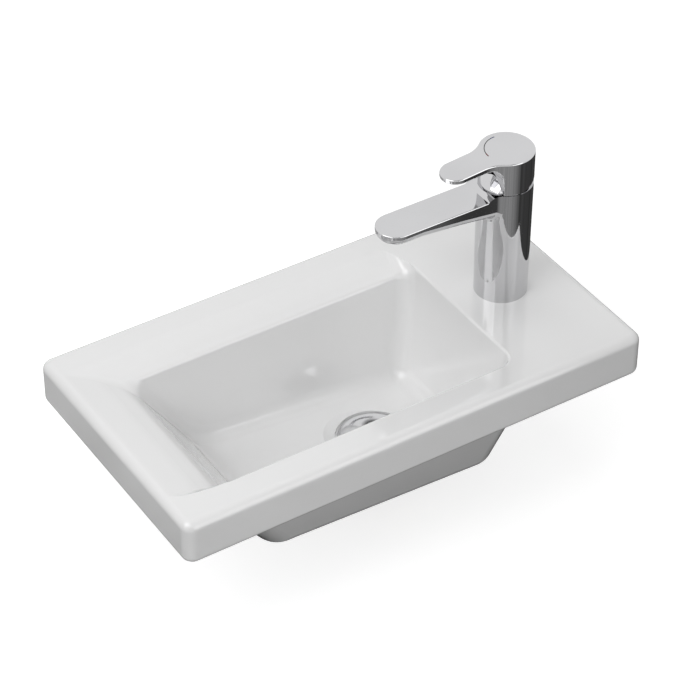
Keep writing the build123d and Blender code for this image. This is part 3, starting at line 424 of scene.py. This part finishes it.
def material_named(name, settings):
    """The finish of that name, made once."""
    found = bpy.data.materials.get("finish_" + name)
    if found:
        return found
    special = {
        "glaze": glaze,
        "chrome": chrome,
        "waste_chrome": waste_chrome,
        "handle_chrome": handle_chrome,
        "stud_steel": stud_steel,
    }
    made = special[name](settings) if name in special else plain_finish(name)
    made.name = "finish_" + name
    return made


def dress(names, finish, settings):
    """Gives carried-over nodes one finish."""
    for name in names:
        if name not in NODES:
            raise RuntimeError("there is no piece named " + name)
        slots = NODES[name].data.materials
        slots.clear()
        slots.append(material_named(finish, settings))


# Settings


class BasinFinish(bpy.types.PropertyGroup):
    """Colours and gloss of the visible surfaces."""

    glaze_colour: bpy.props.FloatVectorProperty(
        name="Glaze", description="Colour of the glazed ceramic", subtype="COLOR", size=3,
        min=0, max=1, default=(0.86, 0.86, 0.86),
    )
    glaze_coat: bpy.props.FloatProperty(
        name="Glaze coat", description="Strength of the clear coat over the glaze", min=0, max=1, default=0.8,
        subtype="FACTOR",
    )
    chrome_colour: bpy.props.FloatVectorProperty(
        name="Chrome", description="Colour of the chrome plate", subtype="COLOR", size=3,
        min=0, max=1, default=(0.62, 0.62, 0.63),
    )
    chrome_roughness: bpy.props.FloatProperty(
        name="Chrome roughness", description="Roughness of polished chrome", min=0, max=1, default=0.03,
        subtype="FACTOR",
    )


class BasinStudio(bpy.types.PropertyGroup):
    """The camera, the floor and the light."""

    lens: bpy.props.FloatProperty(
        name="Lens", description="Focal length of the camera, in millimetres", min=10, max=500, default=147.05,
    )
    floor_drop: bpy.props.FloatProperty(
        name="Floor gap", description="Space between the lowest piece and the floor", min=0, default=0.0005,
        subtype="DISTANCE", unit="LENGTH",
    )
    lamp_strength: bpy.props.FloatProperty(
        name="Lamps", description="Brightness of the soft lamps", min=0, default=3.0,
    )
    world_strength: bpy.props.FloatProperty(
        name="Room light", description="Brightness of the room round the object", min=0, default=0.02,
    )


# Pieces


class BASIN_OT_ceramic(bpy.types.Operator):
    """Glazes the basin"""

    bl_idname = "basin.ceramic"
    bl_label = "Ceramic"

    def execute(self, context):
        dress(["basin"], "glaze", context.scene.basin_finish)
        return {"FINISHED"}


class BASIN_OT_waste(bpy.types.Operator):
    """Finishes the waste with its seals, washer and back nut"""

    bl_idname = "basin.waste"
    bl_label = "Waste"

    def execute(self, context):
        settings = context.scene.basin_finish
        dress(["waste_flange"], "waste_chrome", settings)
        dress(["waste_top_seal", "waste_lower_seal"], "rubber", settings)
        dress(["waste_washer"], "washer_plastic", settings)
        dress(["waste_backnut"], "brass", settings)
        return {"FINISHED"}


class BASIN_OT_tap_body(bpy.types.Operator):
    """Finishes the tap's column and spout, and the aerator in its tip"""

    bl_idname = "basin.tap_body"
    bl_label = "Tap body and aerator"

    def execute(self, context):
        settings = context.scene.basin_finish
        dress(["tap_body", "aerator_housing"], "chrome", settings)
        dress(["aerator_insert"], "insert_plastic", settings)
        dress(["aerator_seal", "tap_base_gasket"], "rubber", settings)
        return {"FINISHED"}


class BASIN_OT_mounting(bpy.types.Operator):
    """Finishes the stud, clamp and nut under the shelf"""

    bl_idname = "basin.mounting"
    bl_label = "Tap mounting"

    def execute(self, context):
        settings = context.scene.basin_finish
        dress(["mounting_stud"], "stud_steel", settings)
        dress(["horseshoe_washer"], "steel", settings)
        dress(["horseshoe_seal"], "rubber", settings)
        dress(["stud_nut"], "brass", settings)
        return {"FINISHED"}


class BASIN_OT_cartridge(bpy.types.Operator):
    """Finishes the cartridge's pieces and its cap ring"""

    bl_idname = "basin.cartridge"
    bl_label = "Cartridge"

    def execute(self, context):
        settings = context.scene.basin_finish
        dress(["cartridge_seals"], "rubber", settings)
        dress(["cartridge_base", "disc_carrier", "cartridge_housing"], "insert_plastic", settings)
        dress(["fixed_disc", "moving_disc"], "disc_ceramic", settings)
        dress(["cartridge_rotor"], "rotor_plastic", settings)
        dress(["cartridge_stem", "cartridge_nut"], "brass", settings)
        dress(["stem_pin"], "steel", settings)
        dress(["cartridge_cap"], "chrome", settings)
        return {"FINISHED"}


class BASIN_OT_handle(bpy.types.Operator):
    """Finishes the lever handle with its screw, plug and index marks"""

    bl_idname = "basin.handle"
    bl_label = "Lever handle"

    def execute(self, context):
        settings = context.scene.basin_finish
        dress(["lever_handle"], "handle_chrome", settings)
        dress(["handle_screw"], "steel", settings)
        dress(["screw_plug"], "rotor_plastic", settings)
        dress(["hot_mark"], "hot_enamel", settings)
        dress(["cold_mark"], "cold_enamel", settings)
        return {"FINISHED"}


def seen_directly(tree, x, y):
    """1 where the camera, a reflection or clear glass looks at the surface, and 0 for other light."""
    path = node(tree, "ShaderNodeLightPath", x, y)
    camera_or_gloss = node(tree, "ShaderNodeMath", x + 200, y, operation="MAXIMUM")
    any_view = node(tree, "ShaderNodeMath", x + 400, y, operation="MAXIMUM")
    tree.links.new(path.outputs["Is Camera Ray"], camera_or_gloss.inputs[0])
    tree.links.new(path.outputs["Is Glossy Ray"], camera_or_gloss.inputs[1])
    tree.links.new(camera_or_gloss.outputs[0], any_view.inputs[0])
    tree.links.new(path.outputs["Is Transmission Ray"], any_view.inputs[1])
    return any_view.outputs[0]


class BASIN_OT_studio(bpy.types.Operator):
    """Sets up the pale floor, the soft light and the camera"""

    bl_idname = "basin.studio"
    bl_label = "Studio"

    # How bright the room is by direction from the tap, in degrees from the right, front negative
    ROOM_TONES = (
        (-150, 0.35),
        (-122, 0.36),
        (-95, 0.30),
        (-78, 0.20),
        (-64, 0.06),
        (60, 0.04),
        (90, 0.35),
        (120, 0.50),
        (150, 0.35),
    )
    # Each light's name, its place, its share of the light, and whether polished surfaces mirror it
    LAMPS = (
        ("left_light", (-1.2, -0.3, 1.1), 0.84, True),
        ("front_light", (-0.8, -1.2, 1.2), 0.38, True),
        ("low_light", (0.3, -1.6, 0.5), 0.46, True),
        ("overhead_light", (0.0, -0.1, 1.6), 0.50, False),
        ("back_light", (-0.1, 1.3, 1.2), 0.46, False),
        ("right_light", (1.1, 0.8, 1.2), 0.39, False),
    )

    def lamp(self, name, place, strength, mirrored):
        """A square soft light, aimed at the middle of the basin."""
        bpy.ops.object.light_add(type="AREA", location=place)
        lamp = bpy.context.object
        lamp.name = name
        lamp.visible_glossy = mirrored
        lamp.data.shape = "SQUARE"
        lamp.data.size = 1.2
        lamp.data.energy = strength * lamp.data.size**2 * math.pi
        lamp.rotation_euler = (Vector((0, -0.12, 0)) - lamp.location).to_track_quat("-Z", "Y").to_euler()

    def mirrored_room(self, level):
        """A wide card just over the floor, seen only in polished surfaces: pale to the left and
        behind, dark to the right, with soft streaks, a painted shadow under the basin and white far off."""
        bpy.ops.object.select_all(action="DESELECT")
        bpy.ops.mesh.primitive_plane_add(size=8, location=(0, 0, level))
        card = bpy.context.object
        card.name = "mirrored_room"
        card.visible_camera = False
        card.visible_diffuse = False
        card.visible_shadow = False
        card.visible_transmission = False
        material = bpy.data.materials.new("mirrored_room")
        material.use_nodes = True
        tree = material.node_tree
        tree.nodes.clear()
        end = node(tree, "ShaderNodeOutputMaterial", 1300, 0)
        glow = node(tree, "ShaderNodeEmission", 1100, 0)
        place = node(tree, "ShaderNodeTexCoord", -1100, 0)

        from_tap = node(tree, "ShaderNodeVectorMath", -900, 200, operation="SUBTRACT")
        from_tap.inputs[1].default_value = (*TAP_AXIS, 0)
        parts = node(tree, "ShaderNodeSeparateXYZ", -700, 200)
        angle = node(tree, "ShaderNodeMath", -500, 200, operation="ARCTAN2")
        turn = node(tree, "ShaderNodeMapRange", -300, 200)
        turn.inputs["From Min"].default_value = -math.pi
        turn.inputs["From Max"].default_value = math.pi
        ramp = node(tree, "ShaderNodeValToRGB", -100, 200)
        stops = ramp.color_ramp.elements
        stops[0].position, stops[0].color = 0, (0.3, 0.3, 0.3, 1)
        stops[1].position, stops[1].color = 1, (0.3, 0.3, 0.3, 1)
        for degrees, grey in self.ROOM_TONES:
            stop = stops.new((degrees + 180) / 360)
            stop.color = (grey, grey, grey, 1)
        streaks = node(tree, "ShaderNodeTexNoise", -300, -60, noise_dimensions="1D")
        streaks.inputs["Scale"].default_value = 4.0
        spread = node(tree, "ShaderNodeMapRange", -100, -60)
        spread.inputs["From Min"].default_value = 0.3
        spread.inputs["From Max"].default_value = 0.7
        spread.inputs["To Min"].default_value = 0.7
        spread.inputs["To Max"].default_value = 1.3
        streaked = node(tree, "ShaderNodeMath", 300, 100, operation="MULTIPLY")

        # Painted shadow: the card is darkened under the basin's footprint, standing in for the shaded floor there
        from_middle = node(tree, "ShaderNodeVectorMath", -900, -300, operation="SUBTRACT")
        from_middle.inputs[1].default_value = (0, -0.124, 0)
        distance = node(tree, "ShaderNodeVectorMath", -700, -300, operation="ABSOLUTE")
        outside = node(tree, "ShaderNodeVectorMath", -500, -300, operation="SUBTRACT")
        outside.inputs[1].default_value = (0.20, 0.10, 0)
        sides = node(tree, "ShaderNodeSeparateXYZ", -300, -300)
        farthest = node(tree, "ShaderNodeMath", -100, -300, operation="MAXIMUM")
        painted_shadow_under_basin = node(tree, "ShaderNodeMapRange", 100, -300)
        painted_shadow_under_basin.inputs["From Max"].default_value = 0.1
        painted_shadow_under_basin.inputs["To Min"].default_value = 0.05
        near = node(tree, "ShaderNodeMath", 500, 0, operation="MULTIPLY")
        reach = node(tree, "ShaderNodeVectorMath", -700, 420, operation="LENGTH")
        far_off = node(tree, "ShaderNodeMapRange", -300, 460)
        far_off.inputs["From Min"].default_value = 0.5
        far_off.inputs["From Max"].default_value = 0.9
        strength = node(tree, "ShaderNodeMix", 800, 0, data_type="FLOAT")
        strength.inputs["B"].default_value = 1.0

        link = tree.links.new
        link(place.outputs["Object"], from_tap.inputs[0])
        link(from_tap.outputs[0], parts.inputs[0])
        link(parts.outputs["Y"], angle.inputs[0])
        link(parts.outputs["X"], angle.inputs[1])
        link(angle.outputs[0], turn.inputs["Value"])
        link(turn.outputs["Result"], ramp.inputs["Fac"])
        link(angle.outputs[0], streaks.inputs["W"])
        link(streaks.outputs["Fac"], spread.inputs["Value"])
        link(ramp.outputs["Color"], streaked.inputs[0])
        link(spread.outputs["Result"], streaked.inputs[1])
        link(place.outputs["Object"], from_middle.inputs[0])
        link(from_middle.outputs[0], distance.inputs[0])
        link(distance.outputs[0], outside.inputs[0])
        link(outside.outputs[0], sides.inputs[0])
        link(sides.outputs["X"], farthest.inputs[0])
        link(sides.outputs["Y"], farthest.inputs[1])
        link(farthest.outputs[0], painted_shadow_under_basin.inputs["Value"])
        link(streaked.outputs[0], near.inputs[0])
        link(painted_shadow_under_basin.outputs["Result"], near.inputs[1])
        link(from_tap.outputs[0], reach.inputs[0])
        link(reach.outputs["Value"], far_off.inputs["Value"])
        link(far_off.outputs["Result"], strength.inputs["Factor"])
        link(near.outputs[0], strength.inputs["A"])
        link(strength.outputs["Result"], glow.inputs["Strength"])
        link(glow.outputs[0], end.inputs["Surface"])
        card.data.materials.append(material)

    def execute(self, context):
        settings = context.scene.basin_studio
        scene = context.scene
        scene.view_settings.view_transform = "Standard"
        lowest = cad_box[0].z - settings.floor_drop

        bpy.ops.object.select_all(action="DESELECT")
        bpy.ops.mesh.primitive_plane_add(size=24, location=(0, 0, lowest))
        floor = context.object
        floor.name = "floor"
        material = bpy.data.materials.new("pale_floor")
        material.use_nodes = True
        tree = material.node_tree
        tree.nodes.clear()
        end = node(tree, "ShaderNodeOutputMaterial", 600, 0)
        both = node(tree, "ShaderNodeAddShader", 400, 0)
        matt = node(tree, "ShaderNodeBsdfDiffuse", 100, 120)
        matt.inputs["Color"].default_value = (0.5, 0.5, 0.5, 1)
        glow = node(tree, "ShaderNodeEmission", 200, -120)
        level = node(tree, "ShaderNodeMath", 0, -120, operation="MULTIPLY")
        place = node(tree, "ShaderNodeTexCoord", -700, -320)
        reach = node(tree, "ShaderNodeVectorMath", -500, -320, operation="LENGTH")
        backdrop = node(tree, "ShaderNodeMapRange", -300, -320)
        backdrop.inputs["From Min"].default_value = 0.6
        backdrop.inputs["From Max"].default_value = 1.6
        backdrop.inputs["To Min"].default_value = 0.75
        backdrop.inputs["To Max"].default_value = 1.0
        tree.links.new(place.outputs["Object"], reach.inputs[0])
        tree.links.new(reach.outputs["Value"], backdrop.inputs["Value"])
        tree.links.new(backdrop.outputs["Result"], level.inputs[1])
        tree.links.new(seen_directly(tree, -700, -120), level.inputs[0])
        tree.links.new(level.outputs[0], glow.inputs["Strength"])
        tree.links.new(matt.outputs[0], both.inputs[0])
        tree.links.new(glow.outputs[0], both.inputs[1])
        tree.links.new(both.outputs[0], end.inputs["Surface"])
        floor.data.materials.append(material)

        world = bpy.data.worlds.new("room")
        scene.world = world
        world.use_nodes = True
        tree = world.node_tree
        tree.nodes.clear()
        end = node(tree, "ShaderNodeOutputWorld", 600, 0)
        sky = node(tree, "ShaderNodeBackground", 400, 0)
        level = node(tree, "ShaderNodeMapRange", 200, 0)
        level.inputs["To Min"].default_value = settings.world_strength
        # The end of the room behind the camera is dark
        place = node(tree, "ShaderNodeTexCoord", -600, -300)
        facing = node(tree, "ShaderNodeVectorMath", -400, -300, operation="DOT_PRODUCT")
        facing.inputs[1].default_value = (-0.40, -0.67, 0.62)
        dark_end = node(tree, "ShaderNodeMapRange", -200, -300)
        dark_end.inputs["From Min"].default_value = 0.70
        dark_end.inputs["From Max"].default_value = 0.90
        dark_end.inputs["To Min"].default_value = 1.0
        dark_end.inputs["To Max"].default_value = 0.06
        tree.links.new(place.outputs["Generated"], facing.inputs[0])
        tree.links.new(facing.outputs["Value"], dark_end.inputs["Value"])
        tree.links.new(dark_end.outputs["Result"], level.inputs["To Max"])
        sky.inputs["Color"].default_value = (1, 1, 1, 1)
        tree.links.new(seen_directly(tree, -600, 0), level.inputs["Value"])
        tree.links.new(level.outputs["Result"], sky.inputs["Strength"])
        tree.links.new(sky.outputs[0], end.inputs["Surface"])

        self.mirrored_room(lowest + 0.004)
        for name, place, share, mirrored in self.LAMPS:
            self.lamp(name, place, share * settings.lamp_strength, mirrored)

        bpy.ops.object.camera_add(location=(-0.97952, -1.65298, 1.52771))
        camera = context.object
        camera.name = "camera"
        look = Vector((0.017394, -0.091264, 0.0200)) - camera.location
        camera.rotation_euler = look.to_track_quat("-Z", "Y").to_euler()
        camera.data.sensor_width = 36
        camera.data.lens = settings.lens
        camera.data.clip_start = 0.05
        camera.data.clip_end = 60
        scene.camera = camera
        return {"FINISHED"}


OPERATORS = (
    BASIN_OT_ceramic,
    BASIN_OT_waste,
    BASIN_OT_tap_body,
    BASIN_OT_mounting,
    BASIN_OT_cartridge,
    BASIN_OT_handle,
    BASIN_OT_studio,
)


class BASIN_PT_panel(bpy.types.Panel):
    """Lists the steps in the 3D view's sidebar"""

    bl_idname = "BASIN_PT_panel"
    bl_label = "Inset basin"
    bl_space_type = "VIEW_3D"
    bl_region_type = "UI"
    bl_category = "Basin"

    def draw(self, context):
        finish = context.scene.basin_finish
        studio = context.scene.basin_studio
        for settings, names in (
            (finish, ("glaze_colour", "glaze_coat", "chrome_colour", "chrome_roughness")),
            (studio, ("lens", "floor_drop", "lamp_strength", "world_strength")),
        ):
            column = self.layout.column()
            for name in names:
                column.prop(settings, name)
        column = self.layout.column(align=True)
        for step in OPERATORS:
            column.operator(step.bl_idname)


CLASSES = (BasinFinish, BasinStudio, *OPERATORS, BASIN_PT_panel)


def register():
    for cls in CLASSES:
        bpy.utils.register_class(cls)
    bpy.types.Scene.basin_finish = bpy.props.PointerProperty(type=BasinFinish)
    bpy.types.Scene.basin_studio = bpy.props.PointerProperty(type=BasinStudio)


def unregister():
    del bpy.types.Scene.basin_studio
    del bpy.types.Scene.basin_finish
    for cls in reversed(CLASSES):
        bpy.utils.unregister_class(cls)


def main():
    """Finishes every piece and sets up the studio."""
    register()
    bpy.ops.basin.ceramic()
    bpy.ops.basin.waste()
    bpy.ops.basin.tap_body()
    bpy.ops.basin.mounting()
    bpy.ops.basin.cartridge()
    bpy.ops.basin.handle()
    bpy.ops.basin.studio()


if __name__ == "__main__":
    main()
